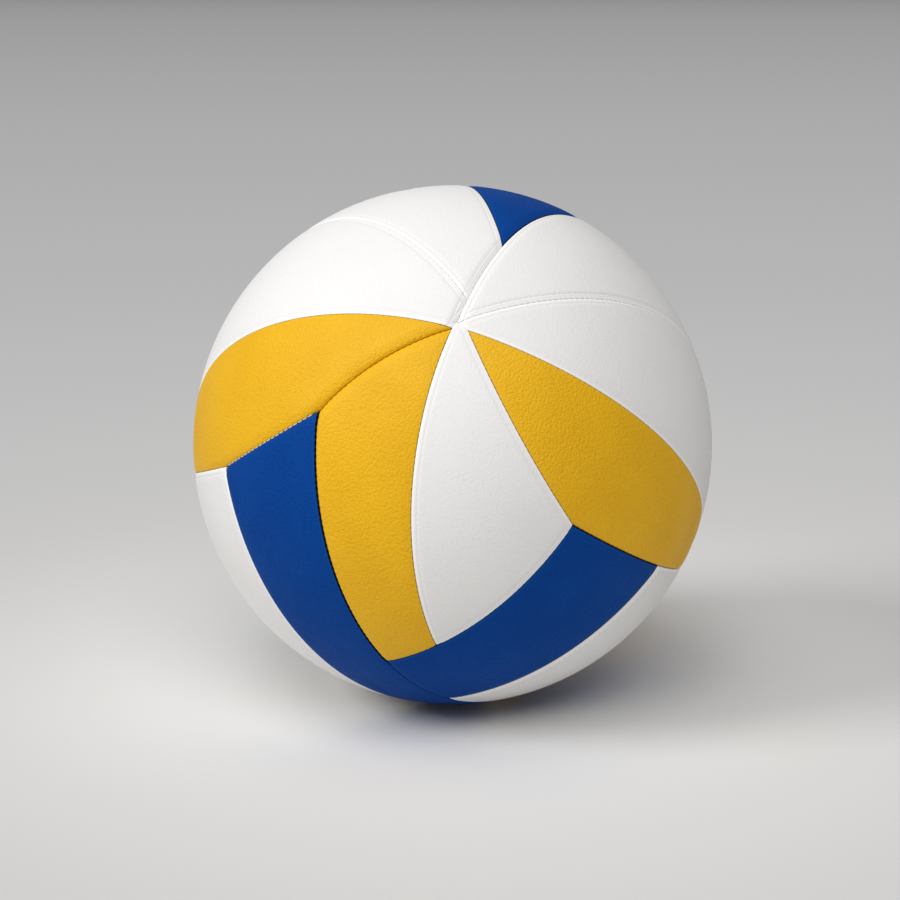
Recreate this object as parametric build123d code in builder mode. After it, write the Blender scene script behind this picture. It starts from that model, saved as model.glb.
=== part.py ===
from build123d import *
from math import acos, atan2, cos, degrees, pi, radians, sin, sqrt
import os

os.makedirs("parts", exist_ok=True)

# A volleyball of 210 mm with 18 sewn cover panels. The origin is the centre of
# the ball, Z is up as photographed, the front looks along -Y and the valve
# points along +Y. All lengths are in millimetres and all angles in degrees.

BALL_DIAMETER = 210.0
SKIN = 1.2              # synthetic leather of a cover panel
FOAM = 2.2              # foam pad behind each panel
LINING = 0.5            # cloth under the foam
WINDING = 0.4           # nylon thread wound over the bladder
BLADDER = 0.6           # rubber bladder wall
BOND_GAP = 0.05         # glue line between two layers

SEAM_GAP = 0.24         # slit between the turned edges of two panels
TURNED_EDGE = 1.4       # thickness of the edge turned in at a seam
EDGE_ROUND = 1.5        # rounding of a panel along its seam
ROUND_STEPS = 3         # flats that draw the rounding
THREAD_DIAMETER = 0.5
THREAD_SETBACK = 3.0    # a thread stops this far before the corner of its seam

STEM_DIAMETER = 9.0     # valve stem where it passes through the cover
STEM_FIT = 0.15         # radial play of the layers around the stem
STEM_RECESS = 0.5       # top of the valve below the surface of the ball
FLANGE_DIAMETER = 22.0
FLANGE = 1.8
PATCH_DIAMETER = 34.0
PATCH = 1.0
TAIL_DIAMETER = 11.0
TAIL = 14.0             # part of the housing that hangs inside the bladder
PLUG_DIAMETER = 5.2     # body of the valve core
PLUG = 15.0
HEAD_DIAMETER = 7.2     # head of the valve core
HEAD = 1.2
CORE_FIT = 0.1          # radial play of the core in its housing
NEEDLE_HOLE = 2.0
NEEDLE_DEPTH = 10.0

BALL = BALL_DIAMETER / 2
SKIN_IN = BALL - SKIN
FOAM_OUT = SKIN_IN - BOND_GAP
FOAM_IN = FOAM_OUT - FOAM
LINING_OUT = FOAM_IN - BOND_GAP
LINING_IN = LINING_OUT - LINING
WINDING_OUT = LINING_IN - BOND_GAP
WINDING_IN = WINDING_OUT - WINDING
BLADDER_OUT = WINDING_IN - BOND_GAP
BLADDER_IN = BLADDER_OUT - BLADDER
PATCH_OUT = BLADDER_IN - BOND_GAP
PATCH_IN = PATCH_OUT - PATCH
FLANGE_OUT = PATCH_IN - BOND_GAP
FLANGE_IN = FLANGE_OUT - FLANGE
SPARE = 2.0             # how far a cutting form reaches past what it cuts

# Corners of the cover as longitude and latitude. Longitude runs from the front
# towards +X and latitude runs up.
CORNER = {
    "star": (1.0, 37.2),           # four white panels come together here
    "left_join": (0.0, 36.1),      # the left yellow panels end here
    "right_join": (3.7, 35.4),     # the right yellow panel ends here
    "fork": (4.0, 42.7),
    "crown": (19.4, 57.3),
    "left_step": (-29.5, 17.3),
    "left_foot": (-56.0, 2.0),
    "left_tip": (-106.0, -8.5),
    "left_rear": (-127.0, -30.5),
    "front_foot": (-18.4, -40.7),
    "centre_foot": (-4.0, -34.0),
    "right_step": (25.0, -5.5),
    "right_foot": (53.4, -19.6),
    "right_tip": (100.0, -27.0),
    "rear_high": (132.6, -26.7),
    "rear_low": (130.9, -36.7),
    "base": (-2.0, -60.5),
    "sole": (26.3, -70.1),         # five seams run together here, under the ball
    "top_right": (120.3, 44.2),
    "top_middle": (165.0, 50.0),
    "top_left": (-174.8, 47.4),
    "waist_left": (-173.2, 20.3),
    "low_rear": (179.2, -66.3),
    "sole_left": (131.4, -84.2),
    "sole_rear": (166.5, -78.2),
}

# Each seam lies on one circle: it runs from a corner, through a point, to a
# corner.
SEAM = {
    "crown_seam": ("star", (132.3, 7.1), "sole"),
    "upper_right_seam": ("star", (44.0, 40.5), "rear_high"),
    "star_left_seam": ("left_join", (0.4964, 36.651), "star"),
    "star_right_seam": ("star", (2.3656, 36.3076), "right_join"),
    "right_seam": ("right_join", "right_tip", "rear_low"),
    "centre_right_seam": ("right_join", (12.8, 15.2), "right_step"),
    "centre_left_seam": ("left_join", (-8.1, 1.9), "centre_foot"),
    "left_seam": ("left_join", (-15.6, 29.5), "left_step"),
    "left_low_seam": ("left_step", (-42.6, 9.4), "left_foot"),
    "upper_left_seam": ("left_join", "left_tip", "left_rear"),
    "shoulder_seam": ("fork", (-110.0, 43.3), "left_rear"),
    "left_end_seam": ("left_foot", (-80.7, -4.4), "left_tip"),
    "front_left_seam": ("left_step", (-24.3, -22.9), "sole"),
    "low_left_seam": ("left_foot", (-45.4, -37.5), "sole_left"),
    "front_cross_seam": ("front_foot", (7.5, -25.4), "right_step"),
    "right_cross_seam": ("right_step", (59.5, -21.7), "right_tip"),
    "low_right_seam": ("right_foot", (32.0, -41.2), "base"),
    "right_low_seam": ("right_tip", (66.0, -60.0), "sole"),
    "rear_left_seam": ("crown", (-173.0, 2.4), "sole"),
    "rear_middle_seam": ("top_middle", (167.0, 0.0), "sole"),
    "rear_cross_seam": ("top_right", (155.7, 50.8), "top_left"),
    "waist_seam": ("left_rear", (-147.8, -10.1), "waist_left"),
    "low_rear_seam": ("left_rear", (-141.0, -50.0), "low_rear"),
    "side_low_seam": ("left_tip", (-97.0, -45.0), "sole_rear"),
}

# Each panel is named for its place and colour. It has a point that lies inside
# it, and the seams along its edges, counterclockwise as seen from outside.
PANEL = {
    "upper_right_white": ((70, 48), ("upper_right_seam", "crown_seam")),
    "right_white": ((75, 10), ("right_seam", "crown_seam", "upper_right_seam", "star_right_seam")),
    "right_yellow": ((50, -3), ("centre_right_seam", "right_cross_seam", "right_seam")),
    "front_white": ((5, 0), ("centre_left_seam", "front_cross_seam", "centre_right_seam",
                             "star_right_seam", "star_left_seam")),
    "front_yellow": ((-18, 0), ("left_seam", "front_left_seam", "front_cross_seam", "centre_left_seam")),
    "left_yellow": ((-55, 18), ("upper_left_seam", "left_end_seam", "left_low_seam", "left_seam")),
    "left_white": ((-60, 40), ("shoulder_seam", "upper_left_seam", "star_left_seam", "crown_seam")),
    "top_white": ((-140, 40), ("rear_left_seam", "waist_seam", "shoulder_seam", "crown_seam")),
    "top_blue": ((100, 75), ("crown_seam", "rear_cross_seam", "rear_left_seam")),
    "left_blue": ((-40, -15), ("left_low_seam", "low_left_seam", "rear_left_seam", "front_left_seam")),
    "front_blue": ((20, -35), ("front_left_seam", "low_right_seam",
                               "right_cross_seam", "front_cross_seam")),
    "low_left_white": ((-70, -35), ("left_end_seam", "side_low_seam", "rear_left_seam", "low_left_seam")),
    "low_right_white": ((65, -40), ("low_right_seam", "front_left_seam", "right_low_seam", "right_cross_seam")),
    "low_right_blue": ((115, -50), ("right_low_seam", "crown_seam", "right_seam")),
    "rear_yellow": ((152, 0), ("rear_cross_seam", "crown_seam", "rear_middle_seam")),
    "rear_white": ((180, 0), ("rear_cross_seam", "rear_middle_seam", "rear_left_seam")),
    "rear_blue": ((-148, -30), ("rear_left_seam", "low_rear_seam", "waist_seam")),
    "low_rear_white": ((-112, -48), ("upper_left_seam", "low_rear_seam",
                                      "rear_left_seam", "side_low_seam")),
}
VALVE_PANEL = "rear_white"
ORIGIN = (0, 0, 0)
QUARTER_TURN = 90.0


def direction(longitude, latitude):
    """Unit vector from the centre of the ball to a point of its surface."""
    lon, lat = radians(longitude), radians(latitude)
    return Vector(sin(lon) * cos(lat), -cos(lon) * cos(lat), sin(lat))


def spot(place):
    """Unit vector of a named corner, or of a longitude and latitude."""
    return direction(*(CORNER[place] if isinstance(place, str) else place))


def seam_circle(name):
    """Axis of the cone from the centre through a seam, and the cone's half angle."""
    first, second, third = (spot(place) for place in SEAM[name])
    axis = (second - first).cross(third - second).normalized()
    return axis, acos(axis.dot(first))


def edge_circles(heart, seams, inset):
    """Circle of each edge of a panel, set in from its seam, with its axis on the panel's side."""
    circles = []
    for name in seams:
        axis, opening = seam_circle(name)
        if axis.dot(heart) < cos(opening):
            axis, opening = -axis, pi - opening
        circles.append((axis, cos(opening - inset / BALL)))
    return circles


def corner_between(circle, following):
    """Unit vector to the corner where one edge ends and the following edge starts."""
    (axis, height), (next_axis, next_height) = circle, following
    slope = axis.dot(next_axis)
    spread = 1 - slope * slope
    foot = (axis * (height - next_height * slope) + next_axis * (next_height - height * slope))
    foot = foot * (1 / spread)
    along = axis.cross(next_axis).normalized()
    return foot + along * sqrt(1 - foot.dot(foot))


def outline(heart, seams, radius, inset):
    """Arcs around a panel at a distance from the centre, one along each seam."""
    circles = edge_circles(heart, seams, inset)
    corners = [corner_between(one, two) for one, two in zip(circles, circles[1:] + circles[:1])]
    arcs = []
    for (axis, height), start, end in zip(circles, corners[-1:] + corners[:-1], corners):
        centre = axis * height
        middle = axis.cross(end - start).normalized() * -sqrt(1 - height * height)
        arcs.append(Edge.make_three_point_arc(start * radius, (centre + middle) * radius,
                                              end * radius))
    return arcs


def panel_cap(heart, seams, radius, inset, reach):
    """The part of a ball that lies inside the planes of a panel's outline."""
    across = heart.cross(Vector(0, 0, 1)).normalized()
    with BuildPart() as cap:
        with Locations(Plane(origin=ORIGIN, x_dir=-heart, z_dir=across)):
            Sphere(reach)
        for axis, height in edge_circles(heart, seams, inset):
            split(bisect_by=Plane(origin=axis * (height * radius), z_dir=axis), keep=Keep.TOP)
    return cap.part


def ball_face(heart, seams, radius, inset):
    """The part of a sphere that lies inside the outline of a panel."""
    return panel_cap(heart, seams, radius, inset, radius).faces().filter_by(GeomType.SPHERE)


def ball_strip(heart, seams, radius, inset, next_inset):
    """The strip of a sphere between two outlines of a panel."""
    with BuildPart() as strip:
        add(panel_cap(heart, seams, radius, inset, radius))
        add(panel_cap(heart, seams, radius, next_inset, radius + SPARE), mode=Mode.SUBTRACT)
    return strip.faces().filter_by(GeomType.SPHERE)


def layered(heart, seams, levels):
    """Closed solid whose skin runs through the outlines of a panel at each level.

    A level is a distance from the centre and an inset from the seams. The first
    and the last level are closed by a part of a sphere, and two levels at the
    same distance are joined by a strip of a sphere.
    """
    faces = ball_face(heart, seams, *levels[0]) + ball_face(heart, seams, *levels[-1])
    for (radius, inset), (next_radius, next_inset) in zip(levels, levels[1:]):
        if radius == next_radius:
            faces += ball_strip(heart, seams, radius, inset, next_inset)
        else:
            upper = outline(heart, seams, radius, inset)
            lower = outline(heart, seams, next_radius, next_inset)
            faces += [Face.make_surface_from_curves(one, two) for one, two in zip(upper, lower)]
    return Solid(Shell(faces))


# Levels of a cover panel, from the surface over the rounded edge, down the
# turned edge and back up to the pad. The rounding is drawn in equal turns.
half_gap = SEAM_GAP / 2
pad_inset = half_gap + TURNED_EDGE
turns = [step * radians(QUARTER_TURN) / ROUND_STEPS for step in range(ROUND_STEPS + 1)]
panel_levels = [(BALL - EDGE_ROUND * (1 - cos(turn)), half_gap + EDGE_ROUND * (1 - sin(turn)))
                for turn in turns]
panel_levels += [(FOAM_IN, half_gap), (FOAM_IN, pad_inset), (SKIN_IN, pad_inset)]
foam_levels = [(FOAM_OUT, pad_inset + BOND_GAP), (FOAM_IN, pad_inset + BOND_GAP)]

for name, (inside, seams) in PANEL.items():
    for piece, levels in (("_panel", panel_levels), ("_foam", foam_levels)):
        with BuildPart() as layer:
            add(layered(spot(inside), seams, levels))
            if name == VALVE_PANEL:
                with BuildSketch(Plane.XZ):
                    Circle(STEM_DIAMETER / 2 + STEM_FIT)
                extrude(amount=-(BALL + SPARE), mode=Mode.SUBTRACT)
        layer.part.label = name + piece
        export_step(layer.part, "parts/" + name + piece + ".step")

# Cloth lining, thread winding and bladder: three closed balls inside each other,
# open only where the valve stem passes.
for name, outer, inner in (("cloth_lining", LINING_OUT, LINING_IN),
                           ("nylon_winding", WINDING_OUT, WINDING_IN),
                           ("air_bladder", BLADDER_OUT, BLADDER_IN)):
    with BuildPart() as carcass:
        Sphere(outer)
        Sphere(inner, mode=Mode.SUBTRACT)
        with BuildSketch(Plane.XZ):
            Circle(STEM_DIAMETER / 2 + STEM_FIT)
        extrude(amount=-(BALL + SPARE), mode=Mode.SUBTRACT)
    carcass.part.label = name
    export_step(carcass.part, "parts/" + name + ".step")


def under(radius, width):
    """Point of a section through the valve, on a sphere and off the valve axis."""
    return width, sqrt(radius * radius - width * width)


def sphere_arc(radius, start, end):
    """Arc of a section through the valve, along a sphere."""
    return ThreePointArc(under(radius, start), under(radius, (start + end) / 2),
                         under(radius, end))


# Valve patch: a rubber disc bonded to the inside of the bladder around the stem.
with BuildPart() as valve_patch:
    with BuildSketch(Plane.XY):
        with BuildLine():
            hole, rim = STEM_DIAMETER / 2 + STEM_FIT, PATCH_DIAMETER / 2
            top = sphere_arc(PATCH_OUT, hole, rim)
            bottom = sphere_arc(PATCH_IN, rim, hole)
            Line(top @ 1, bottom @ 0)
            Line(bottom @ 1, top @ 0)
        make_face()
    revolve(axis=Axis.Y)
valve_patch.part.label = "valve_patch"
export_step(valve_patch.part, "parts/valve_patch.step")

# Valve housing: a stem through all layers, a flange under the patch and a tail
# inside the bladder, bored for the core.
stem_top = BALL - STEM_RECESS
tail_end = FLANGE_IN - TAIL
seat = stem_top - HEAD
with BuildPart() as valve_housing:
    with BuildSketch(Plane.XY):
        with BuildLine():
            bottom = sphere_arc(FLANGE_IN, TAIL_DIAMETER / 2, FLANGE_DIAMETER / 2)
            top = sphere_arc(FLANGE_OUT, FLANGE_DIAMETER / 2, STEM_DIAMETER / 2)
            Line(bottom @ 1, top @ 0)
            Polyline(top @ 1,
                     (STEM_DIAMETER / 2, stem_top),
                     (HEAD_DIAMETER / 2 + CORE_FIT, stem_top),
                     (HEAD_DIAMETER / 2 + CORE_FIT, seat),
                     (PLUG_DIAMETER / 2 + CORE_FIT, seat),
                     (PLUG_DIAMETER / 2 + CORE_FIT, tail_end),
                     (TAIL_DIAMETER / 2, tail_end),
                     bottom @ 0)
        make_face()
    revolve(axis=Axis.Y)
valve_housing.part.label = "valve_housing"
export_step(valve_housing.part, "parts/valve_housing.step")

# Valve core: a plug whose head rests on the seat of the housing, with a blind
# hole for the inflating needle.
with BuildPart() as valve_core:
    with BuildSketch(Plane.XY):
        with BuildLine():
            Polyline((0, stem_top - PLUG),
                     (PLUG_DIAMETER / 2, stem_top - PLUG),
                     (PLUG_DIAMETER / 2, seat + BOND_GAP),
                     (HEAD_DIAMETER / 2, seat + BOND_GAP),
                     (HEAD_DIAMETER / 2, stem_top),
                     (NEEDLE_HOLE / 2, stem_top),
                     (NEEDLE_HOLE / 2, stem_top - NEEDLE_DEPTH),
                     (0, stem_top - NEEDLE_DEPTH),
                     close=True)
        make_face()
    revolve(axis=Axis.Y)
valve_core.part.label = "valve_core"
export_step(valve_core.part, "parts/valve_core.step")

# Seam thread: one run along each seam that is long enough for it, lying on the
# rounded edges of the two panels on either side.
thread_reach = EDGE_ROUND + THREAD_DIAMETER / 2 + BOND_GAP
thread_depth = EDGE_ROUND - sqrt(thread_reach ** 2 - (half_gap + EDGE_ROUND) ** 2)
thread_radius = BALL - thread_depth
with BuildPart() as seam_thread:
    for name, (start, _, end) in SEAM.items():
        axis, opening = seam_circle(name)
        first = (spot(start) - axis * cos(opening)).normalized()
        last = (spot(end) - axis * cos(opening)).normalized()
        sweep = atan2(axis.dot(first.cross(last)), first.dot(last)) % (2 * pi)
        setback = THREAD_SETBACK / (BALL * sin(opening))
        if sweep < 2 * setback:
            continue
        begin = first * cos(setback) + axis.cross(first) * sin(setback)
        with BuildSketch(Plane(origin=ORIGIN, x_dir=begin, z_dir=begin.cross(axis))):
            with Locations((thread_radius * sin(opening), thread_radius * cos(opening))):
                Circle(THREAD_DIAMETER / 2)
        revolve(axis=Axis(ORIGIN, axis), revolution_arc=degrees(sweep - 2 * setback))
seam_thread.part.label = "seam_thread"
export_step(seam_thread.part, "parts/seam_thread.step")
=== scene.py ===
# %% [markdown]
# # A sewn volleyball
# The real ball is made in layers. A rubber bladder holds the air, nylon thread
# and a cloth lining keep it round, and eighteen padded panels of synthetic
# leather are sewn over it. The imported CAD model gives every layer its place, so
# it is loaded first, before anything is added.

# %% Load the imported model
import bpy
import numpy as np
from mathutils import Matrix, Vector


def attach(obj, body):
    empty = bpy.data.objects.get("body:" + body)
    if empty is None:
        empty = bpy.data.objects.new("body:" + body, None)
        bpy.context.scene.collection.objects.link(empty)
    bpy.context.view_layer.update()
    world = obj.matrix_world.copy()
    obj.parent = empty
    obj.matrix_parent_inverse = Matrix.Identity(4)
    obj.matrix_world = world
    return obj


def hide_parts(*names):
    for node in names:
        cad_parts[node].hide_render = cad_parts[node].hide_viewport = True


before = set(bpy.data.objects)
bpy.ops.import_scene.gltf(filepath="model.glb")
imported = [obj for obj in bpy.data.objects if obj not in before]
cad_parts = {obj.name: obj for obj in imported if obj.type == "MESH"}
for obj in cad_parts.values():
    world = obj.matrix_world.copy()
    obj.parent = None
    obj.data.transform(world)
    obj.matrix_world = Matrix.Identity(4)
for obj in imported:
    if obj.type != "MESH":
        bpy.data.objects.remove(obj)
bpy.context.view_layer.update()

# %% [markdown]
# ## Where the seams run
# Every seam of the cover lies on a circle of the ball, as an orange peel cut by
# a flat knife would. A circle needs three points, so a seam is written as the
# corner where it starts, a place on its way, and the corner where it ends.
# Longitude runs from the front towards +X and latitude runs up, in degrees.

# %% Corners and seams of the cover
mm = 0.001
BALL = 105 * mm

CORNER = {
    "star": (1.0, 37.2), "left_join": (0.0, 36.1), "right_join": (3.7, 35.4),
    "fork": (4.0, 42.7), "crown": (19.4, 57.3),
    "left_step": (-29.5, 17.3), "left_foot": (-56.0, 2.0), "left_tip": (-106.0, -8.5),
    "left_rear": (-127.0, -30.5), "front_foot": (-18.4, -40.7), "centre_foot": (-4.0, -34.0),
    "right_step": (25.0, -5.5), "right_foot": (53.4, -19.6), "right_tip": (100.0, -27.0),
    "rear_high": (132.6, -26.7), "rear_low": (130.9, -36.7),
    "base": (-2.0, -60.5), "sole": (26.3, -70.1),
    "top_right": (120.3, 44.2), "top_middle": (165.0, 50.0), "top_left": (-174.8, 47.4),
    "waist_left": (-173.2, 20.3), "low_rear": (179.2, -66.3),
    "sole_left": (131.4, -84.2), "sole_rear": (166.5, -78.2),
}
SEAM = {
    "crown_seam": ("star", (132.3, 7.1), "sole"),
    "upper_right_seam": ("star", (44.0, 40.5), "rear_high"),
    "star_left_seam": ("left_join", (0.4964, 36.651), "star"),
    "star_right_seam": ("star", (2.3656, 36.3076), "right_join"),
    "right_seam": ("right_join", "right_tip", "rear_low"),
    "centre_right_seam": ("right_join", (12.8, 15.2), "right_step"),
    "centre_left_seam": ("left_join", (-8.1, 1.9), "centre_foot"),
    "left_seam": ("left_join", (-15.6, 29.5), "left_step"),
    "left_low_seam": ("left_step", (-42.6, 9.4), "left_foot"),
    "upper_left_seam": ("left_join", "left_tip", "left_rear"),
    "shoulder_seam": ("fork", (-110.0, 43.3), "left_rear"),
    "left_end_seam": ("left_foot", (-80.7, -4.4), "left_tip"),
    "front_left_seam": ("left_step", (-24.3, -22.9), "sole"),
    "low_left_seam": ("left_foot", (-45.4, -37.5), "sole_left"),
    "front_cross_seam": ("front_foot", (7.5, -25.4), "right_step"),
    "right_cross_seam": ("right_step", (59.5, -21.7), "right_tip"),
    "low_right_seam": ("right_foot", (32.0, -41.2), "base"),
    "right_low_seam": ("right_tip", (66.0, -60.0), "sole"),
    "rear_left_seam": ("crown", (-173.0, 2.4), "sole"),
    "rear_middle_seam": ("top_middle", (167.0, 0.0), "sole"),
    "rear_cross_seam": ("top_right", (155.7, 50.8), "top_left"),
    "waist_seam": ("left_rear", (-147.8, -10.1), "waist_left"),
    "low_rear_seam": ("left_rear", (-141.0, -50.0), "low_rear"),
    "side_low_seam": ("left_tip", (-97.0, -45.0), "sole_rear"),
}


def unit(vectors):
    """Vectors divided by their own lengths."""
    return vectors / np.linalg.norm(vectors, axis=-1, keepdims=True)


def toward(place):
    """Unit vector to a named corner, or to a longitude and latitude of the unit sphere."""
    lon, lat = np.radians(CORNER[place] if isinstance(place, str) else place)
    return np.array((np.sin(lon) * np.cos(lat), -np.cos(lon) * np.cos(lat), np.sin(lat)))


def seam_circle(name):
    """Axis and opening angle of a seam's circle: the axis is square to two chords of it."""
    first, second, third = (toward(place) for place in SEAM[name])
    axis = unit(np.cross(second - first, third - second))
    return axis, np.arccos(axis @ first)


def seam_run(name):
    """Two directions in the plane of a seam's circle, and the angle that the seam sweeps.

    The first direction points to the start of the seam.
    """
    axis, opening = seam_circle(name)
    right = unit(toward(SEAM[name][0]) - axis * np.cos(opening))
    left = np.cross(axis, right)
    last = toward(SEAM[name][2])
    return right, left, np.arctan2(last @ left, last @ right) % (2 * np.pi)


seam_length = {name: BALL * np.sin(seam_circle(name)[1]) * seam_run(name)[2] for name in SEAM}
print(len(SEAM), "seams,", round(sum(seam_length.values()), 2), "m in all")

# %% [markdown]
# ## The panels
# A panel is named for its place and colour. It is known by a point inside it
# and by the seams along its edges, counterclockwise as seen from outside. The
# edges could be traced by hand, but then two neighbours would never quite meet.
# Circles that both panels share keep every seam equally narrow.

# %% Panels and the rings around them
PANEL = {
    "upper_right_white": ((98.5, 39), ("upper_right_seam", "crown_seam")),
    "right_white": ((72, 12), ("right_seam", "crown_seam", "upper_right_seam",
                               "star_right_seam")),
    "right_yellow": ((34, 4.5), ("centre_right_seam", "right_cross_seam", "right_seam")),
    "front_white": ((5.5, -8.5), ("centre_left_seam", "front_cross_seam", "centre_right_seam",
                                  "star_right_seam", "star_left_seam")),
    "front_yellow": ((-20, -0.5), ("left_seam", "front_left_seam", "front_cross_seam",
                                   "centre_left_seam")),
    "left_yellow": ((-58.5, 16), ("upper_left_seam", "left_end_seam", "left_low_seam",
                                  "left_seam")),
    "left_white": ((-91, 36), ("shoulder_seam", "upper_left_seam", "star_left_seam",
                               "crown_seam")),
    "top_white": ((-148, 51.5), ("rear_left_seam", "waist_seam", "shoulder_seam",
                                 "crown_seam")),
    "top_blue": ((142, 65), ("crown_seam", "rear_cross_seam", "rear_left_seam")),
    "left_blue": ((-32, -33.5), ("left_low_seam", "low_left_seam", "rear_left_seam",
                                 "front_left_seam")),
    "front_blue": ((19.5, -32), ("front_left_seam", "low_right_seam", "right_cross_seam",
                                 "front_cross_seam")),
    "low_left_white": ((-63, -39.5), ("left_end_seam", "side_low_seam", "rear_left_seam",
                                      "low_left_seam")),
    "low_right_white": ((60, -39.5), ("low_right_seam", "front_left_seam", "right_low_seam",
                                      "right_cross_seam")),
    "low_right_blue": ((107.5, -45), ("right_low_seam", "crown_seam", "right_seam")),
    "rear_yellow": ((155, -20), ("rear_cross_seam", "crown_seam", "rear_middle_seam")),
    "rear_white": ((178, -20.5), ("rear_cross_seam", "rear_middle_seam", "rear_left_seam")),
    "rear_blue": ((-152.5, -32.5), ("rear_left_seam", "low_rear_seam", "waist_seam")),
    "low_rear_white": ((-117, -49), ("upper_left_seam", "low_rear_seam", "rear_left_seam",
                                     "side_low_seam")),
}
VALVE_PANEL = "rear_white"
COARSEST = 16           # a fan ends with one spoke for this many points of the edge
BACKWARDS = 5.5         # no edge of a panel sweeps more than this many radians


def panel_edges(name):
    """Axes and opening angles of a panel's edges, each axis turned to the panel's side."""
    heart = toward(PANEL[name][0])
    axes, openings = map(np.array, zip(*(seam_circle(seam) for seam in PANEL[name][1])))
    outside = axes @ heart < np.cos(openings)
    axes[outside] *= -1
    openings[outside] = np.pi - openings[outside]
    return axes, openings


def edge_arcs(axes, heights):
    """Arcs of circles that follow each other: centre, two directions, and swept angle.

    A circle lies in the plane at a height along its axis. Two neighbours cross on
    the line that both planes share, where it leaves the unit sphere.
    """
    following, next_heights = np.roll(axes, -1, axis=0), np.roll(heights, -1)
    slope = np.sum(axes * following, axis=1)
    foot = ((heights - next_heights * slope)[:, None] * axes
            + (next_heights - heights * slope)[:, None] * following) / (1 - slope ** 2)[:, None]
    climb = np.sqrt(1 - np.sum(foot ** 2, axis=1, keepdims=True))
    ends = foot + climb * unit(np.cross(axes, following))
    centres = heights[:, None] * axes
    right = np.roll(ends, 1, axis=0) - centres
    left = np.cross(axes, right)
    last = ends - centres
    sweep = np.arctan2(np.sum(left * last, axis=1), np.sum(right * last, axis=1)) % (2 * np.pi)
    return centres, right, left, sweep


def edge_rings(name, insets, step):
    """Unit vectors round a panel, one ring for each inset, with as many points in every ring.

    An edge is a circle about its axis whose opening shrinks by inset / BALL. Its
    points stand at equal angles between its two corners, about one step apart in
    the widest ring. An edge that has shrunk away would sweep backwards, so it is
    left out, and its points wait at the corner of its neighbours.
    """
    axes, openings = panel_edges(name)
    _, right, _, sweep = edge_arcs(axes, np.cos(openings - min(insets) / BALL))
    lengths = BALL * sweep * np.linalg.norm(right, axis=1)
    counts = COARSEST * np.maximum(1, np.round(lengths / step / COARSEST)).astype(int)
    rings = []
    for inset in insets:
        left_over = np.arange(len(axes))
        arcs = edge_arcs(axes, np.cos(openings - inset / BALL))
        while np.any(arcs[3] > BACKWARDS):
            left_over = left_over[arcs[3] < BACKWARDS]
            arcs = edge_arcs(axes[left_over], np.cos(openings[left_over] - inset / BALL))
        ring = []
        for edge, count in enumerate(counts):
            arc = np.searchsorted(left_over, edge) % len(left_over)
            centre, right, left, sweep = (values[arc] for values in arcs)
            angle = sweep * (np.arange(count) / count)[:, None] * (left_over[arc] == edge)
            ring.append(centre + np.cos(angle) * right + np.sin(angle) * left)
        rings.append(np.concatenate(ring))
    return np.stack(rings)


def edge_distance(name, places):
    """Distance of points of the ball from each seam: its opening less the angle to its axis."""
    axes, openings = panel_edges(name)
    return BALL * (openings - np.arccos(np.clip(places @ axes.T, -1, 1)))


print(len(PANEL), "panels")

# %% [markdown]
# ## Closing a panel
# A panel is a thin tray, so its surface can be one stack of rings: out from the
# middle, over the edge, down, and back to the middle underneath. Near the seam
# the rings need many points for the stitches, but the middle is smooth. A plain
# fan of a thousand spokes would end in slivers, so the rings drop every second
# point on their way in.

# %% Fans and bridges between rings
FAN = ((0.95, 2), (0.88, 4), (0.79, 8), (0.69, 8), (0.58, 8), (0.47, 16), (0.36, 16),
       (0.25, 16), (0.14, 16))      # share of the way out, and which of the edge's points stay


def spoke_rings(heart, ring, hole=0.0, shares=FAN):
    """Rings inside a ring, each at a share of the way along great circles from the heart."""
    rings = []
    for share, stride in shares:
        ends = ring[::stride]
        reach = np.arccos(ends @ heart)[:, None]
        side = unit(ends - (ends @ heart)[:, None] * heart)
        angle = hole / BALL + (reach - hole / BALL) * share
        rings.append(np.cos(angle) * heart + np.sin(angle) * side)
    return rings


def bridge(first, second):
    """Faces between two rings of point numbers.

    They have four corners where both rings have as many points. Where one ring is
    a single point, or has half as many points, they have three.
    """
    near, far = np.roll(first, -1), np.roll(second, -1)
    if len(first) == len(second):
        return [np.stack((first, second, far, near), axis=1)]
    if len(first) == 1:
        return [np.stack((np.full(len(second), first[0]), second, far), axis=1)]
    if len(second) == 1:
        return [np.stack((first, np.full(len(first), second[0]), near), axis=1)]
    if len(first) < len(second):
        middle, outer = second[1::2], second[::2]
        return [np.stack(three, axis=1) for three in (
            (first, outer, middle), (first, middle, near), (near, middle, np.roll(outer, -1)))]
    middle, outer = first[1::2], first[::2]
    return [np.stack(three, axis=1) for three in (
        (outer, second, middle), (middle, second, far), (middle, far, np.roll(outer, -1)))]


def stack_faces(sizes, ring_closed):
    """All faces of a stack of rings, and from the last ring to the first where it is closed."""
    starts = np.concatenate(([0], np.cumsum(sizes)))
    rings = [np.arange(start, start + size) for start, size in zip(starts, sizes)]
    pairs = list(zip(rings, rings[1:])) + ([(rings[-1], rings[0])] if ring_closed else [])
    return [faces for pair in pairs for faces in bridge(*pair)]


print("fan rings:", len(FAN))

# %% [markdown]
# ## From points to a piece
# Rings that shrink to a corner leave points on top of each other. They are
# welded, so that no edge stays open. A piece then rides on the ball and stands
# for the CAD nodes that it dresses.

# %% Pieces from points and faces
SAME_PLACE = 1e-7       # metres


def weld(points, faces):
    """Points that fall together become one, and faces drop the corners that repeat."""
    _, first, number = np.unique(np.round(points / SAME_PLACE), axis=0,
                                 return_index=True, return_inverse=True)
    kept = []
    for some in faces:
        some = number.ravel()[some]
        differs = some != np.roll(some, 1, axis=1)
        kept.append(some[differs.all(axis=1)])
        if some.shape[1] == 4:
            three = differs.sum(axis=1) == 3
            kept.append(some[three][differs[three]].reshape(-1, 3))
    return points[first], [some for some in kept if len(some)]


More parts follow.
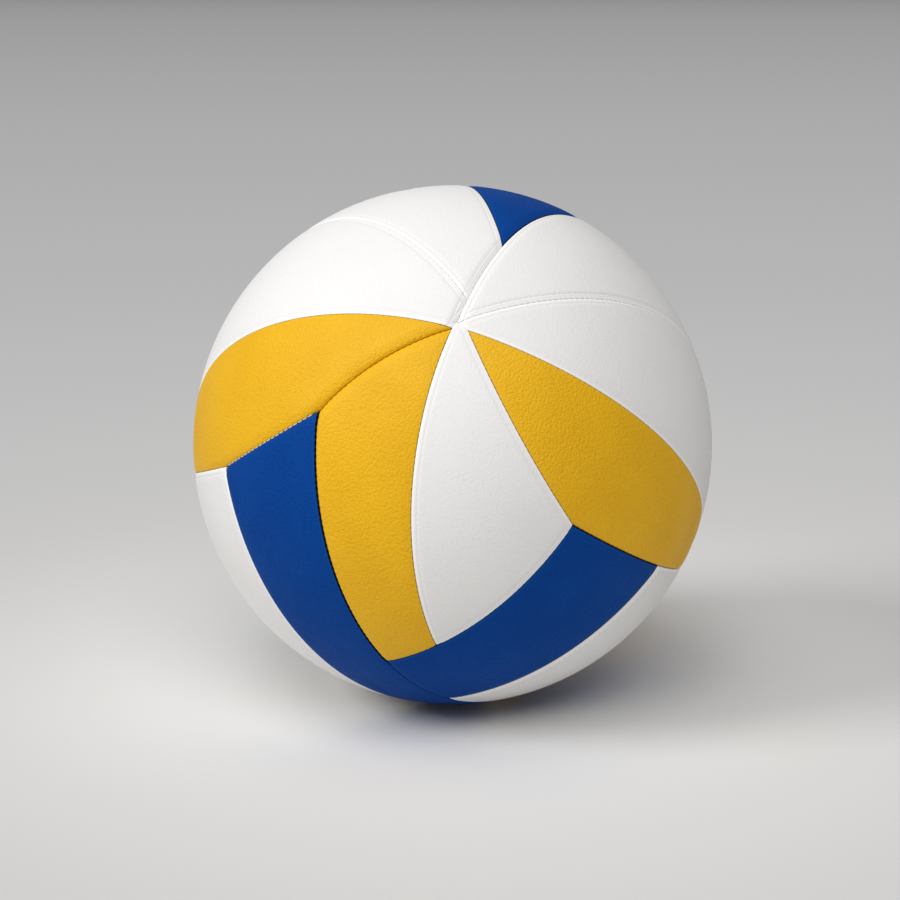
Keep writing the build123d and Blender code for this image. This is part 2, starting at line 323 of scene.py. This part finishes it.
def make_piece(name, points, faces, material, slot, *nodes):
    """Object from arrays of points and faces, that rides on the ball and stands for CAD nodes."""
    mesh = bpy.data.meshes.new(name)
    points, faces = weld(points, faces)
    corners = np.concatenate([some.ravel() for some in faces])
    sizes = np.concatenate([np.full(len(some), some.shape[1]) for some in faces])
    mesh.vertices.add(len(points))
    mesh.vertices.foreach_set("co", points.astype(np.float32).ravel())
    mesh.loops.add(len(corners))
    mesh.loops.foreach_set("vertex_index", corners.astype(np.int32))
    mesh.polygons.add(len(sizes))
    mesh.polygons.foreach_set("loop_start", (np.cumsum(sizes) - sizes).astype(np.int32))
    mesh.update(calc_edges=True)
    mesh.validate()
    mesh.shade_smooth()
    mesh.materials.append(material)
    piece = bpy.data.objects.new(name, mesh)
    bpy.context.scene.collection.objects.link(piece)
    if nodes:
        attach(piece, "root")
        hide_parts(*nodes)
    return piece


def triangles(piece):
    """Number of triangles that a piece's faces make."""
    sizes = np.empty(len(piece.data.polygons), dtype=np.int32)
    piece.data.polygons.foreach_get("loop_total", sizes)
    return int(np.sum(sizes - 2))


print("points weld within", SAME_PLACE, "m")

# %% [markdown]
# ## Colours and nodes
# A finish could be a picture wrapped round the ball, but it would be stretched
# near the poles. Here every finish is worked out by nodes in the ball's own
# coordinates, so patterns have no edges and keep their real size. A few small
# functions make the nodes that come back in each finish.

# %% Colours and nodes
def linear(hex_colour):
    """Linear RGBA from an sRGB hex value, by the sRGB curve."""
    srgb = np.array([int(hex_colour[place:place + 2], 16) for place in (1, 3, 5)]) / 255
    low, high = srgb / 12.92, ((srgb + 0.055) / 1.055) ** 2.4
    return (*np.where(srgb <= 0.04045, low, high), 1.0)


def set_inputs(tree, node, inputs):
    """Inputs of a node, linked to sockets or set to values."""
    for key, value in inputs.items():
        if isinstance(value, bpy.types.NodeSocket):
            tree.links.new(value, node.inputs[key])
        else:
            node.inputs[key].default_value = value


def add_node(tree, kind, inputs=None, **settings):
    """A node of a kind with its settings and inputs."""
    node = tree.nodes.new(kind)
    for key, value in settings.items():
        setattr(node, key, value)
    set_inputs(tree, node, inputs or {})
    return node


def noise(tree, place, width, detail=2.0):
    """Smooth noise from 0 to 1, with patches about as wide as given in metres."""
    return add_node(tree, "ShaderNodeTexNoise", {"Vector": place, "Scale": 1 / width,
                                                 "Detail": detail}).outputs["Fac"]


def remap(tree, value, low, high, least=0.0, most=1.0):
    """A value that goes from least to most while another goes from low to high."""
    return add_node(tree, "ShaderNodeMapRange", {
        "Value": value, "From Min": low, "From Max": high,
        "To Min": least, "To Max": most}).outputs["Result"]


def blend(tree, share, first, second):
    """Colour on the way from a first to a second colour, by a share from 0 to 1."""
    return add_node(tree, "ShaderNodeMix", {"Factor": share, "A": first, "B": second},
                    data_type="RGBA").outputs["Result"]


def relief(tree, height, depth, **settings):
    """Normal of a surface that a height from 0 to 1 raises by a depth in metres."""
    return add_node(tree, "ShaderNodeBump", {"Height": height, "Distance": depth},
                    **settings).outputs["Normal"]


def new_material(name):
    """Empty material with a surface shader, its tree and the Object coordinates."""
    material = bpy.data.materials.new(name)
    material.use_nodes = True
    tree = material.node_tree
    tree.nodes.clear()
    surface = add_node(tree, "ShaderNodeBsdfPrincipled")
    add_node(tree, "ShaderNodeOutputMaterial", {"Surface": surface.outputs["BSDF"]})
    place = add_node(tree, "ShaderNodeTexCoord").outputs["Object"]
    return material, tree, surface, place


print("a pale grey as linear:", np.round(linear("#f0efed"), 3).tolist())

# %% [markdown]
# ## Synthetic leather
# The skin of a panel is polyurethane pressed against a grained roller. The eye
# sees a matt surface with rounded grains about a millimetre wide, fine pores,
# and a slow change of tone. The grain could be a picture, but a cell pattern has
# no edges. The valleys of the grain get painted shade. Beside a seam the folded
# lip gets a lighter colour, a painted highlight that shows on the white leather,
# and the slit between two panels is painted darker, as painted shade.

# %% Synthetic leather in three colours
GRAIN = 0.95 * mm           # width of a grain
GRAIN_VALLEY = (0.3, 0.75)  # grain widths from a grain's middle, where a valley starts and ends
# The valleys of the grain are painted darker, a painted shade.
PAINTED_VALLEY_SHADE = 0.35         # how far a valley takes the darker colour
PORE = 0.42 * mm
PORE_HEIGHT = 0.3           # against the height of a grain
TONE = 24 * mm              # width of a lighter or darker patch
TONE_RANGE = (0.3, 0.7)     # the values that the noise of the tone really takes
PATCH_SHADE = 0.45          # how far a patch takes the darker colour
ROUGHNESS = (0.52, 0.62)
# The lip's colour beside the seam is a painted highlight, lighter on the white leather.
LIP_HIGHLIGHT_FADE = (0.7, 1.3)       # mm from the seam, where the lip's colour starts to fade and ends
# The slit's darker colour is painted shade in the seam.
SLIT_SHADE_FULL = 0.3             # share of a slit's width that has its full colour
POLYURETHANE = 1.45         # index of refraction


def synthetic_leather(name, colour, shade, lip, slit, slit_mm, grain_height, shine):
    """Pressed polyurethane: grain and pores raise it, and its place colours it.

    The colour goes from the slit's painted shade to the lip's colour, a painted
    highlight on the white leather, to the skin with the distance from the seam. The
    skin goes to its shade in patches of random tone, and as painted shade in the
    valleys of the grain.
    """
    material, tree, surface, place = new_material(name)
    grain = add_node(tree, "ShaderNodeTexVoronoi", {
        "Vector": place, "Scale": 1 / GRAIN, "Smoothness": 0.35},
        feature="SMOOTH_F1").outputs["Distance"]
    pore, tone = noise(tree, place, PORE), noise(tree, place, TONE, 3.0)
    seam = add_node(tree, "ShaderNodeAttribute", attribute_name="seam_mm").outputs["Fac"]
    # Painted shade in the valleys of the grain, and darker patches of random tone.
    valleys = remap(tree, grain, *GRAIN_VALLEY, 0.0, PAINTED_VALLEY_SHADE)
    patches = remap(tree, tone, *TONE_RANGE, 0.0, PATCH_SHADE)
    valley_shade_and_patches = add_node(tree, "ShaderNodeMath", {0: valleys, 1: patches},
                       operation="ADD").outputs[0]
    skin = blend(tree, valley_shade_and_patches, linear(colour), linear(shade))
    # Painted highlight: the lip's colour near the seam.
    edge = blend(tree, remap(tree, seam, *LIP_HIGHLIGHT_FADE), linear(lip), skin)
    # Painted shade: the slit's darker colour at the seam.
    past_slit_shade = remap(tree, seam, SLIT_SHADE_FULL * slit_mm, slit_mm)
    height = add_node(tree, "ShaderNodeMath", {0: pore, 1: PORE_HEIGHT, 2: grain},
                      operation="MULTIPLY_ADD").outputs[0]
    set_inputs(tree, surface, {
        "Base Color": blend(tree, past_slit_shade, linear(slit), edge),
        "Roughness": remap(tree, tone, *TONE_RANGE, *ROUGHNESS),
        "Normal": relief(tree, height, grain_height, invert=True),
        "IOR": POLYURETHANE, "Specular IOR Level": shine})
    return material


# Each leather: skin colour, darker colour for random patches and the painted shade of the grain
# valleys, lip colour (a painted highlight on the white), the slit's painted shade, the slit's
# width in mm, grain height and shine.
leather = {
    "white": synthetic_leather("white_synthetic_leather", "#ebeae8", "#e5e4e2", "#f4f3f1",
                               "#dbd8d2", 0.1, 0.06 * mm, 0.25),
    "yellow": synthetic_leather("yellow_synthetic_leather", "#ebb50e", "#dca50a", "#e6af12",
                                "#8a650c", 0.3, 0.2 * mm, 0.3),
    "blue": synthetic_leather("blue_synthetic_leather", "#0a4391", "#063981", "#0b4491",
                              "#030a18", 0.42, 0.17 * mm, 0.04),
}
print("leathers:", sorted(leather))

# %% [markdown]
# ## The cover
# Each panel is cut from the leather, its edge is folded in, and it is sewn to
# its neighbours from inside. Air pressure then swells it, so it is fullest in
# the middle and rolls down into the seam. The fold leaves a narrow bead along
# the edge with a sewn line beside it, and every stitch pulls the fold down a
# little. All this is a height over the ball that depends on the distance from
# the seam and on the way along it.

# %% Height of the cover over its seams
HALF_GAP = 0.015 * mm       # the air pressure closes the slit of a seam
# Depth and width of the fold, depth and reach of the swell, all in mm, then the
# share by which a stitch pulls the fold.
SEAM_STYLE = {
    "left_seam": (0.8, 1.3, 1.2, 5.0, 0.45),
    "left_low_seam": (0.7, 0.9, 0.8, 4.5, 0.45),
    "crown_seam": (0.5, 1.2, 1.1, 4.5, 0.15),
    "upper_right_seam": (0.45, 0.8, 0.45, 4.0, 0.45),
    "shoulder_seam": (0.4, 0.7, 0.3, 4.0, 0.45),
    "star_left_seam": (0.12, 0.5, 0.2, 4.0, 0.0),
    "star_right_seam": (0.12, 0.5, 0.2, 4.0, 0.0),
    "front_left_seam": (0.6, 0.65, 0.35, 4.0, 0.25),
    "right_cross_seam": (0.6, 0.65, 0.35, 4.0, 0.25),
}
PLAIN_SEAM = (0.18, 0.65, 0.35, 4.0, 0.4)
# Width of the slit's painted shade against the usual one, above and below the
# foot of the front yellow panel.
SLIT_SHADE_SHARE = {
    "front_left_seam": (2.2, 0.6), "right_cross_seam": (1.5, 1.5),
    "low_right_seam": (4.5, 4.5), "front_cross_seam": (0.5, 0.5), "left_seam": (0.3, 0.3),
}
# Reach of the widened painted shade of the usual slit.
SLIT_SHADE_FADE = 0.7             # mm, for the usual slit
STITCH = 2.4 * mm           # from one stitch to the next
DEEPER = 0.3                # how much of a stitch's pull deepens the fold and the sewn line
SEWN_LINE = 2.1 * mm        # where the turned edge is sewn down, measured from the seam
SEWN_WIDTH = 0.32 * mm
SEWN_MEAN = 0.85            # share of the sewn line's depth that it has on average
SEWN_DEPTH = {              # mm
    "upper_right_white": 0.3, "left_white": 0.22, "white": 0.14, "yellow": 0.03, "blue": 0.03,
}
BEFORE_START = 0.3          # radians before a seam's start that still count from it


def way_along(name, places):
    """Way of points along each seam of a panel: angle about its axis times its radius."""
    ways = []
    for seam in PANEL[name][1]:
        right, left, _ = seam_run(seam)
        angle = np.arctan2(places @ left, places @ right)
        angle = (angle + BEFORE_START) % (2 * np.pi) - BEFORE_START
        ways.append(BALL * np.sin(seam_circle(seam)[1]) * angle)
    return np.stack(ways, axis=-1)


def stitched(name, places):
    """Distance in mm from each seam of a panel, and how the stitches pull there.

    The pull goes with the cosine of the way along the seam.
    """
    pull = np.array([SEAM_STYLE.get(seam, PLAIN_SEAM)[-1] for seam in PANEL[name][1]])
    away = np.clip(edge_distance(name, places) - HALF_GAP, 0, None) / mm
    return away, pull * np.cos(2 * np.pi * way_along(name, places) / STITCH)


def slit_distance(name, places):
    """Distance in mm from the nearest seam of a panel, as the slit's painted shade and the lip's
    colour take it.

    Near the seam it is divided by the share of that seam's slit and by one plus
    the pull of the stitches. Both fade with the square of the distance.
    """
    away, pulled = stitched(name, places)
    above, below = np.array([SLIT_SHADE_SHARE.get(seam, (1.0, 1.0)) for seam in PANEL[name][1]]).T
    share = np.where(places[:, 2:] > toward("front_foot")[2], above, below)
    near = np.exp(-(away / (SLIT_SHADE_FADE * share)) ** 2)
    return np.min(away / (1 + (share * (1 + pulled) - 1) * near), axis=-1)


def cover_height(name, places):
    """Radius of the cover at points of a panel: rolled edge, shallow sewn line, slow swell.

    The rolled edge is a quarter of an ellipse that deepens with the cosine of the
    way along the seam, once for each stitch. The deepest of the panel's edges
    counts. The swell grows with the square of the way into its reach, and the
    swells of all edges add up.
    """
    styles = [SEAM_STYLE.get(seam, PLAIN_SEAM) for seam in PANEL[name][1]]
    depth, width, swell, reach, _ = np.array(styles).T
    away, pulled = stitched(name, places)
    inward = np.clip(1 - away / (width * (1 + pulled)), 0, 1)
    fold = depth * (1 + DEEPER * pulled) * (1 - np.sqrt(1 - inward ** 2))
    line = np.exp(-((away * mm - SEWN_LINE) / SEWN_WIDTH) ** 2)
    sewn = (SEWN_MEAN + DEEPER * pulled) * line
    swelled = np.sum(swell * np.clip(1 - away / reach, 0, 1) ** 2, axis=-1)
    sunk = swelled + np.max(fold, axis=-1)
    sewn_depth = SEWN_DEPTH.get(name, SEWN_DEPTH[name.rsplit("_", 1)[1]])
    return BALL - mm * (sunk + sewn_depth * np.max(sewn, axis=-1))


print("seams with a style of their own:", sorted(SEAM_STYLE))

# %% [markdown]
# ## Shaping the panels
# Rings close to the seam follow the fold, the sewn line and the swell, and a fan
# closes the middle. Under the leather the turned edge goes down to the lining
# and back. The distance from the seam stays with every point, because the
# painted highlight of the lip and the painted shade of the slit depend on it.
# Where a panel is full, it faces straight out, so the long fan leaves no streaks
# in the light.

# %% Cover panels
SKIN_IN = 103.8 * mm
FOAM_OUT = 103.75 * mm
FOAM_IN = 101.55 * mm
TURNED_EDGE = 1.4 * mm
STEM_HOLE = 4.65 * mm
COVER_STEP = 0.4 * mm
FULL_WITHIN = 0.01 * mm     # where the cover is this near to the full ball, it faces straight out
COVER_LEVELS = np.array((5.0, 3.8, 2.9, 2.4, 2.1, 1.9, 1.7, 1.45, 1.2, 1.0, 0.82, 0.66, 0.52,
                         0.4, 0.3, 0.21, 0.13, 0.07, 0.03, 0.0)) * mm
HOLE_LIP = ((0.7, 0.0), (0.3, 0.05), (0.1, 0.18), (0.0, 0.45))     # mm from the hole, mm down
AT_HOLE = ((0.0, COARSEST),)


def raised(name, rings):
    """Rings of unit vectors moved out to the height of the cover."""
    return [ring * cover_height(name, ring)[:, None] for ring in rings]


def cover_panel(name):
    """Points and faces of a cover panel: rings over the leather, down the fold and back under."""
    heart = toward(PANEL[name][0])
    hole = STEM_HOLE if name == VALVE_PANEL else 0.0
    under = ((FOAM_IN, 0.0), (FOAM_IN, TURNED_EDGE), (SKIN_IN, TURNED_EDGE))
    insets = HALF_GAP + np.concatenate((COVER_LEVELS, [inset for _, inset in under]))
    rings = edge_rings(name, insets, COVER_STEP)
    top, low = rings[:len(COVER_LEVELS)], rings[len(COVER_LEVELS):]
    edge = raised(name, top) + [ring * radius for ring, (radius, _) in zip(low, under)]
    outer_high = raised(name, spoke_rings(heart, top[0], hole))
    inner_low = [ring * SKIN_IN for ring in spoke_rings(heart, rings[-1], hole)]
    if hole:
        lip = [spoke_rings(heart, top[0], hole + gap * mm, AT_HOLE)[0] for gap, _ in HOLE_LIP]
        lip = [ring * (cover_height(name, ring)[:, None] - drop * mm)
               for ring, (_, drop) in zip(lip, HOLE_LIP)]
        base = spoke_rings(heart, top[0], hole, AT_HOLE)[0] * SKIN_IN
        stack = [*lip[::-1], *outer_high[::-1], *edge, *inner_low, base]
    else:
        peak, floor = heart[None] * cover_height(name, heart), heart[None] * SKIN_IN
        stack = [peak, *outer_high[::-1], *edge, *inner_low, floor]
    faces = stack_faces([len(ring) for ring in stack], ring_closed=bool(hole))
    return np.concatenate(stack), faces


covers = []
for name in PANEL:
    colour = name.rsplit("_", 1)[1]
    cover = make_piece("cover_" + name, *cover_panel(name), leather[colour],
                       colour + "_synthetic_leather", name + "_panel")
    points = np.empty((len(cover.data.vertices), 3))
    cover.data.vertices.foreach_get("co", points.ravel())
    seam_mm = slit_distance(name, unit(points)).astype(np.float32)
    cover.data.attributes.new("seam_mm", "FLOAT", "POINT").data.foreach_set("value", seam_mm)
    normals = np.empty_like(points)
    cover.data.vertex_normals.foreach_get("vector", normals.ravel())
    full = np.linalg.norm(points, axis=1) > BALL - FULL_WITHIN
    normals[full] = unit(points[full])
    cover.data.normals_split_custom_set_from_vertices(normals.tolist())
    covers.append(cover)
cover_triangles = [triangles(cover) for cover in covers]
print("cover:", sum(cover_triangles), "triangles, most in one panel:", max(cover_triangles))

# %% [markdown]
# ## Foam pads
# Behind each panel lies a pad of soft foam that makes the ball kind to the
# forearms. It shows nowhere from outside, but it is part of the ball, so it gets
# rounded edges and its own cell pattern.

# %% Foam
CELL = 0.6 * mm
CELL_DEPTH = 0.15 * mm


def closed_cell_foam():
    """Expanded foam: round cells as small as a grain of salt, matt and slightly uneven in tone."""
    material, tree, surface, place = new_material("closed_cell_foam")
    cells = add_node(tree, "ShaderNodeTexVoronoi", {"Vector": place,
                                                    "Scale": 1 / CELL}).outputs["Distance"]
    set_inputs(tree, surface, {
        "Base Color": blend(tree, cells, linear("#d9d4c8"), linear("#efece4")),
        "Normal": relief(tree, cells, CELL_DEPTH), "Roughness": 0.9})
    return material


PAD_STEP = 1.6 * mm
PAD_PLAY = 0.15 * mm        # between the pad and the turned edge
PAD_INSET = HALF_GAP + TURNED_EDGE + PAD_PLAY
PAD_LEVELS = ((2.5, 0.0), (0.5, 0.0), (0.15, 0.12), (0.0, 0.4))     # mm from the edge, the face


def foam_pad(name):
    """Points and faces of a pad: rings over its outer face, down its side and back under."""
    heart = toward(PANEL[name][0])
    hole = STEM_HOLE if name == VALVE_PANEL else 0.0
    levels = [(inset, FOAM_OUT - drop * mm) for inset, drop in PAD_LEVELS]
    levels += [(inset, FOAM_IN + drop * mm) for inset, drop in PAD_LEVELS[::-1]]
    rings = edge_rings(name, [PAD_INSET + inset * mm for inset, _ in levels], PAD_STEP)
    edge = [ring * radius for ring, (_, radius) in zip(rings, levels)]
    fan = spoke_rings(heart, rings[0], hole, FAN + AT_HOLE if hole else FAN)
    fan += [] if hole else [heart[None]]
    high, low = ([ring * radius for ring in fan] for radius in (FOAM_OUT, FOAM_IN))
    stack = [*high[::-1], *edge, *low]
    faces = stack_faces([len(ring) for ring in stack], ring_closed=bool(hole))
    return np.concatenate(stack), faces


foam = closed_cell_foam()
pads = []
for name in PANEL:
    pad = make_piece("pad_" + name, *foam_pad(name), foam, "foam", name + "_foam")
    pads.append(pad)
print("pads:", sum(map(triangles, pads)), "triangles")

# %% [markdown]
# ## Seam thread
# The panels are sewn with waxed polyester thread. At the bottom of a seam it
# shows as a row of short bright stitches. One long tube along each seam would
# look like piping, so every stitch is its own small capsule with few faces.

# %% Stitches
THREAD = 0.5 * mm
STRAND = 0.3 * mm
STRAND_DEPTH = 0.04 * mm
THREAD_SHOWN = {            # mm under the edge
    "left_low_seam": 0.1, "upper_right_seam": 0.42, "shoulder_seam": 0.42,
}
THREAD_HIDDEN = 0.6         # mm under the fold of a seam that the air closes
STITCH_SHARE = 0.78         # visible part of a stitch
SETBACK = 3 * mm            # from the corners of the cover
STITCH_SECTIONS = np.array(((-1.0, 0.35), (-0.86, 0.8), (-0.4, 1.0),
                            (0.4, 1.0), (0.86, 0.8), (1.0, 0.35)))     # way along, and thickness
STITCH_SIDES = 6


def polyester_thread():
    """Twisted polyester: slanting strands give a slightly silky pale line."""
    material, tree, surface, place = new_material("polyester_thread")
    strands = noise(tree, place, STRAND)
    set_inputs(tree, surface, {
        "Base Color": blend(tree, strands, linear("#b9b4aa"), linear("#e2dfd7")),
        "Normal": relief(tree, strands, STRAND_DEPTH), "Roughness": 0.6})
    return material


def seam_stitches(name):
    """Capsules along a seam: rings of points about short arcs, at equal ways along the circle."""
    axis, opening = seam_circle(name)
    right, left, sweep = seam_run(name)
    depth, _, swell, _, _ = SEAM_STYLE.get(name, PLAIN_SEAM)
    below = THREAD_SHOWN.get(name, depth + THREAD_HIDDEN)
    circle = BALL * np.sin(opening)
    middles = np.arange(SETBACK + STITCH / 2, circle * sweep - SETBACK, STITCH)
    ways = middles[:, None] + STITCH_SECTIONS[:, 0] * STITCH * STITCH_SHARE / 2
    angle = (ways / circle)[..., None]
    spokes = np.cos(angle) * right + np.sin(angle) * left
    outward = np.sin(opening) * spokes + np.cos(opening) * axis
    across = np.cross(outward, -np.sin(angle) * right + np.cos(angle) * left)
    turn = (np.arange(STITCH_SIDES) * 2 * np.pi / STITCH_SIDES)[:, None]
    size = (STITCH_SECTIONS[:, 1] * THREAD / 2)[:, None, None]
    around = np.cos(turn) * across[:, :, None] + np.sin(turn) * outward[:, :, None]
    points = outward[:, :, None] * (BALL - (swell + below) * mm) + size * around
    numbers = np.arange(points[..., 0].size).reshape(points.shape[:3])
    beside = np.roll(numbers, -1, 2)
    walls = np.stack((numbers[:, :-1], beside[:, :-1], beside[:, 1:], numbers[:, 1:]), axis=-1)
    return points.reshape(-1, 3), [walls.reshape(-1, 4), numbers[:, 0, ::-1], numbers[:, -1]]


points, faces, count = [], [], 0
for name in SEAM:
    some_points, some_faces = seam_stitches(name)
    points.append(some_points)
    faces += [some + count for some in some_faces]
    count += len(some_points)
stitches = make_piece("seam_stitches", np.concatenate(points), faces, polyester_thread(),
                      "sewing_thread", "seam_thread")
stitch_count = count // (STITCH_SIDES * len(STITCH_SECTIONS))
print("stitches:", stitch_count, "with", triangles(stitches), "triangles")

# %% [markdown]
# ## Inside and valve
# The lining, the winding, the bladder and the valve already have their right
# shapes in the CAD model, so they stay and only get their finish. The cloth and
# the winding are threads side by side, and the rest is rubber from a mould.

# %% Finishes of the inner layers
WEAVE = 0.9 * mm
WOUND = 0.7 * mm
WAVE_PERIOD = np.pi / 10    # width of one wave of the wave pattern at a scale of one
BLOOM = 3 * mm
GRIT = 0.25 * mm
GRIT_DEPTH = 0.03 * mm


def banded(name, spacing, dark, light, depth, rough):
    """Threads that lie side by side: two sets of waves at one spacing, crossing each other."""
    material, tree, surface, place = new_material(name)
    waves = [add_node(tree, "ShaderNodeTexWave", {
        "Vector": place, "Scale": WAVE_PERIOD / spacing, "Distortion": 0.6},
        bands_direction=way).outputs["Fac"] for way in ("X", "Z")]
    threads = add_node(tree, "ShaderNodeMath", {0: waves[0], 1: waves[1]},
                       operation="MAXIMUM").outputs[0]
    set_inputs(tree, surface, {
        "Base Color": blend(tree, threads, linear(dark), linear(light)),
        "Normal": relief(tree, threads, depth), "Roughness": rough})
    return material


def moulded_rubber(name, dark, light, rough):
    """Moulded rubber: a dull skin with a faint bloom and the fine roughness of the mould."""
    material, tree, surface, place = new_material(name)
    bloom = noise(tree, place, BLOOM, 4.0)
    set_inputs(tree, surface, {
        "Base Color": blend(tree, bloom, linear(dark), linear(light)),
        "Normal": relief(tree, noise(tree, place, GRIT), GRIT_DEPTH), "Roughness": rough})
    return material


finish = {
    "cloth_lining": banded("woven_cotton", WEAVE, "#b7ab94", "#e4dcc9", 0.12 * mm, 0.9),
    "nylon_winding": banded("wound_nylon_thread", WOUND, "#9c9c98", "#e9e8e2", 0.15 * mm, 0.45),
    "air_bladder": moulded_rubber("butyl_rubber", "#161616", "#242423", 0.55),
    "valve_housing": moulded_rubber("valve_rubber", "#b9b7b2", "#d4d2cd", 0.6),
    "valve_core": moulded_rubber("soft_core_rubber", "#8f8d89", "#a9a7a2", 0.5),
}
finish["valve_patch"] = finish["air_bladder"]
for node, material in finish.items():
    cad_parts[node].data.materials.clear()
    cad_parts[node].data.materials.append(material)
print("finished nodes:", sorted(finish))

# %% [markdown]
# ## Table
# The ball lies on a pale painted table. A real studio uses a sheet that rises
# into a grey backdrop. A very wide disc, painted greyer with the distance, gives
# the same slow change of tone and has no edge that the camera could see. This
# grading is partly the grey of a backdrop and partly painted light: it stands in
# for the studio light falling off with the distance from the ball.

# %% Table
TABLE_RINGS = np.geomspace(0.02, 120.0, 60)     # metres
TABLE_SIDES = 96
# Painted light fall-off: the table's tone at distances from the ball.
TABLE_FALLOFF_TONES = ((0.1, "#e4e3e1"), (0.17, "#dfdedc"), (0.35, "#c9c8c7"), (1.2, "#b7b7b7"),
               (9.0, "#a1a1a1"), (100.0, "#8a8a8a"))    # metres from the ball, and the paint there


def table_top():
    """Flat disc under the ball: rings that grow in equal ratios about a point."""
    turn = np.arange(TABLE_SIDES) * 2 * np.pi / TABLE_SIDES
    rings = [np.stack((r * np.cos(turn), r * np.sin(turn), np.full(TABLE_SIDES, -BALL)), axis=1)
             for r in TABLE_RINGS]
    stack = [np.array(((0.0, 0.0, -BALL),)), *rings]
    return np.concatenate(stack), stack_faces([len(ring) for ring in stack], ring_closed=False)


def table_with_painted_falloff():
    """Matt paint: pale near the ball and greyer far away, by the logarithm of the distance.

    The grading is painted light fall-off, partly also the grey of a backdrop.
    """
    material, tree, surface, place = new_material("table_with_painted_falloff")
    reach = add_node(tree, "ShaderNodeVectorMath", {0: place}, operation="LENGTH").outputs["Value"]
    order = add_node(tree, "ShaderNodeMath", {0: reach, 1: 10.0}, operation="LOGARITHM").outputs[0]
    first, last = (np.log10(TABLE_FALLOFF_TONES[end][0]) for end in (0, -1))
    falloff_tones = add_node(tree, "ShaderNodeValToRGB", {"Fac": remap(tree, order, first, last)})
    for stop, (metres, colour) in enumerate(TABLE_FALLOFF_TONES):
        at = (np.log10(metres) - first) / (last - first)
        if 0 < stop < len(TABLE_FALLOFF_TONES) - 1:
            falloff_tones.color_ramp.elements.new(at)
        falloff_tones.color_ramp.elements[stop].color = linear(colour)
    set_inputs(tree, surface, {"Base Color": falloff_tones.outputs["Color"], "Roughness": 0.8})
    return material


table = make_piece("table", *table_top(), table_with_painted_falloff(), None)
print("table:", 2 * TABLE_RINGS[-1], "m wide")

# %% [markdown]
# ## Light
# A large soft lamp stands on the left, and weaker ones above and in front fill
# its shadow. The front lamp stands high, so the dark line under the ball stays
# narrow. Near lamps would leave a hot spot on the wide table, so they shine from
# far off, and their softness is the angle under which they are seen. The grey
# room gives the rest.

# %% Lamps and room
LAMPS = {                   # direction, width in degrees, watts per square metre
    "key_lamp": ((-2.68, -1.25, 2.12), 24, 1.45),
    "top_lamp": ((-1.0, -1.2, 3.6), 30, 0.56),
    "front_lamp": ((0.2, -2.5, 3.0), 40, 1.2),
}
ROOM_LIGHT = 0.29
ROOM_GIVEN = "#fbfbfc"      # colour of the light that the room sends out
ROOM_SEEN = "#908f8f"       # colour of the room behind the table

for name, (place, width, strength) in LAMPS.items():
    lamp = bpy.data.lights.new(name, "SUN")
    lamp.angle, lamp.energy = np.radians(width), strength
    holder = bpy.data.objects.new(name, lamp)
    holder.location = place
    holder.rotation_mode = "QUATERNION"
    holder.rotation_quaternion = Vector(place).to_track_quat("Z", "Y")
    bpy.context.scene.collection.objects.link(holder)

room = bpy.data.worlds.new("grey_room")
room.use_nodes = True
room_tree = room.node_tree
room_tree.nodes.clear()
path = add_node(room_tree, "ShaderNodeLightPath").outputs
direct = add_node(room_tree, "ShaderNodeMath", {
    0: path["Is Camera Ray"], 1: path["Is Glossy Ray"]}, operation="MAXIMUM").outputs[0]
seen, given = (add_node(room_tree, "ShaderNodeBackground", {
    "Color": linear(colour), "Strength": strength}).outputs[0]
    for colour, strength in ((ROOM_SEEN, 1.0), (ROOM_GIVEN, ROOM_LIGHT)))
either = add_node(room_tree, "ShaderNodeMixShader", {0: direct, 1: given, 2: seen}).outputs[0]
add_node(room_tree, "ShaderNodeOutputWorld", {"Surface": either})
bpy.context.scene.world = room
print("lamps:", sorted(LAMPS), "room light:", ROOM_LIGHT)

# %% [markdown]
# ## Camera
# The photograph looks slightly down at the ball from close by, so the far rim
# of the ball is hidden. A short telephoto lens at less than a metre gives the
# same curve to the seams near the rim.

# %% Camera
CAMERA_AWAY = 0.8666        # metres from the middle of the ball
CAMERA_UP = 12.0            # degrees above the ball
LENS, SENSOR = 85.0, 36.0   # mm
SHIFT = (-0.003, -0.006)    # the ball stands slightly off the middle of the picture
camera = bpy.data.cameras.new("camera")
camera.lens, camera.sensor_width = LENS, SENSOR
camera.shift_x, camera.shift_y = SHIFT
viewer = bpy.data.objects.new("camera", camera)
back = toward((0.0, CAMERA_UP))
viewer.location = back * CAMERA_AWAY
viewer.rotation_mode = "QUATERNION"
viewer.rotation_quaternion = Vector(-back).to_track_quat("-Z", "Y")
bpy.context.scene.collection.objects.link(viewer)
bpy.context.scene.camera = viewer
bpy.context.scene.view_settings.view_transform = "Standard"
print("camera:", np.round(viewer.location, 3).tolist())
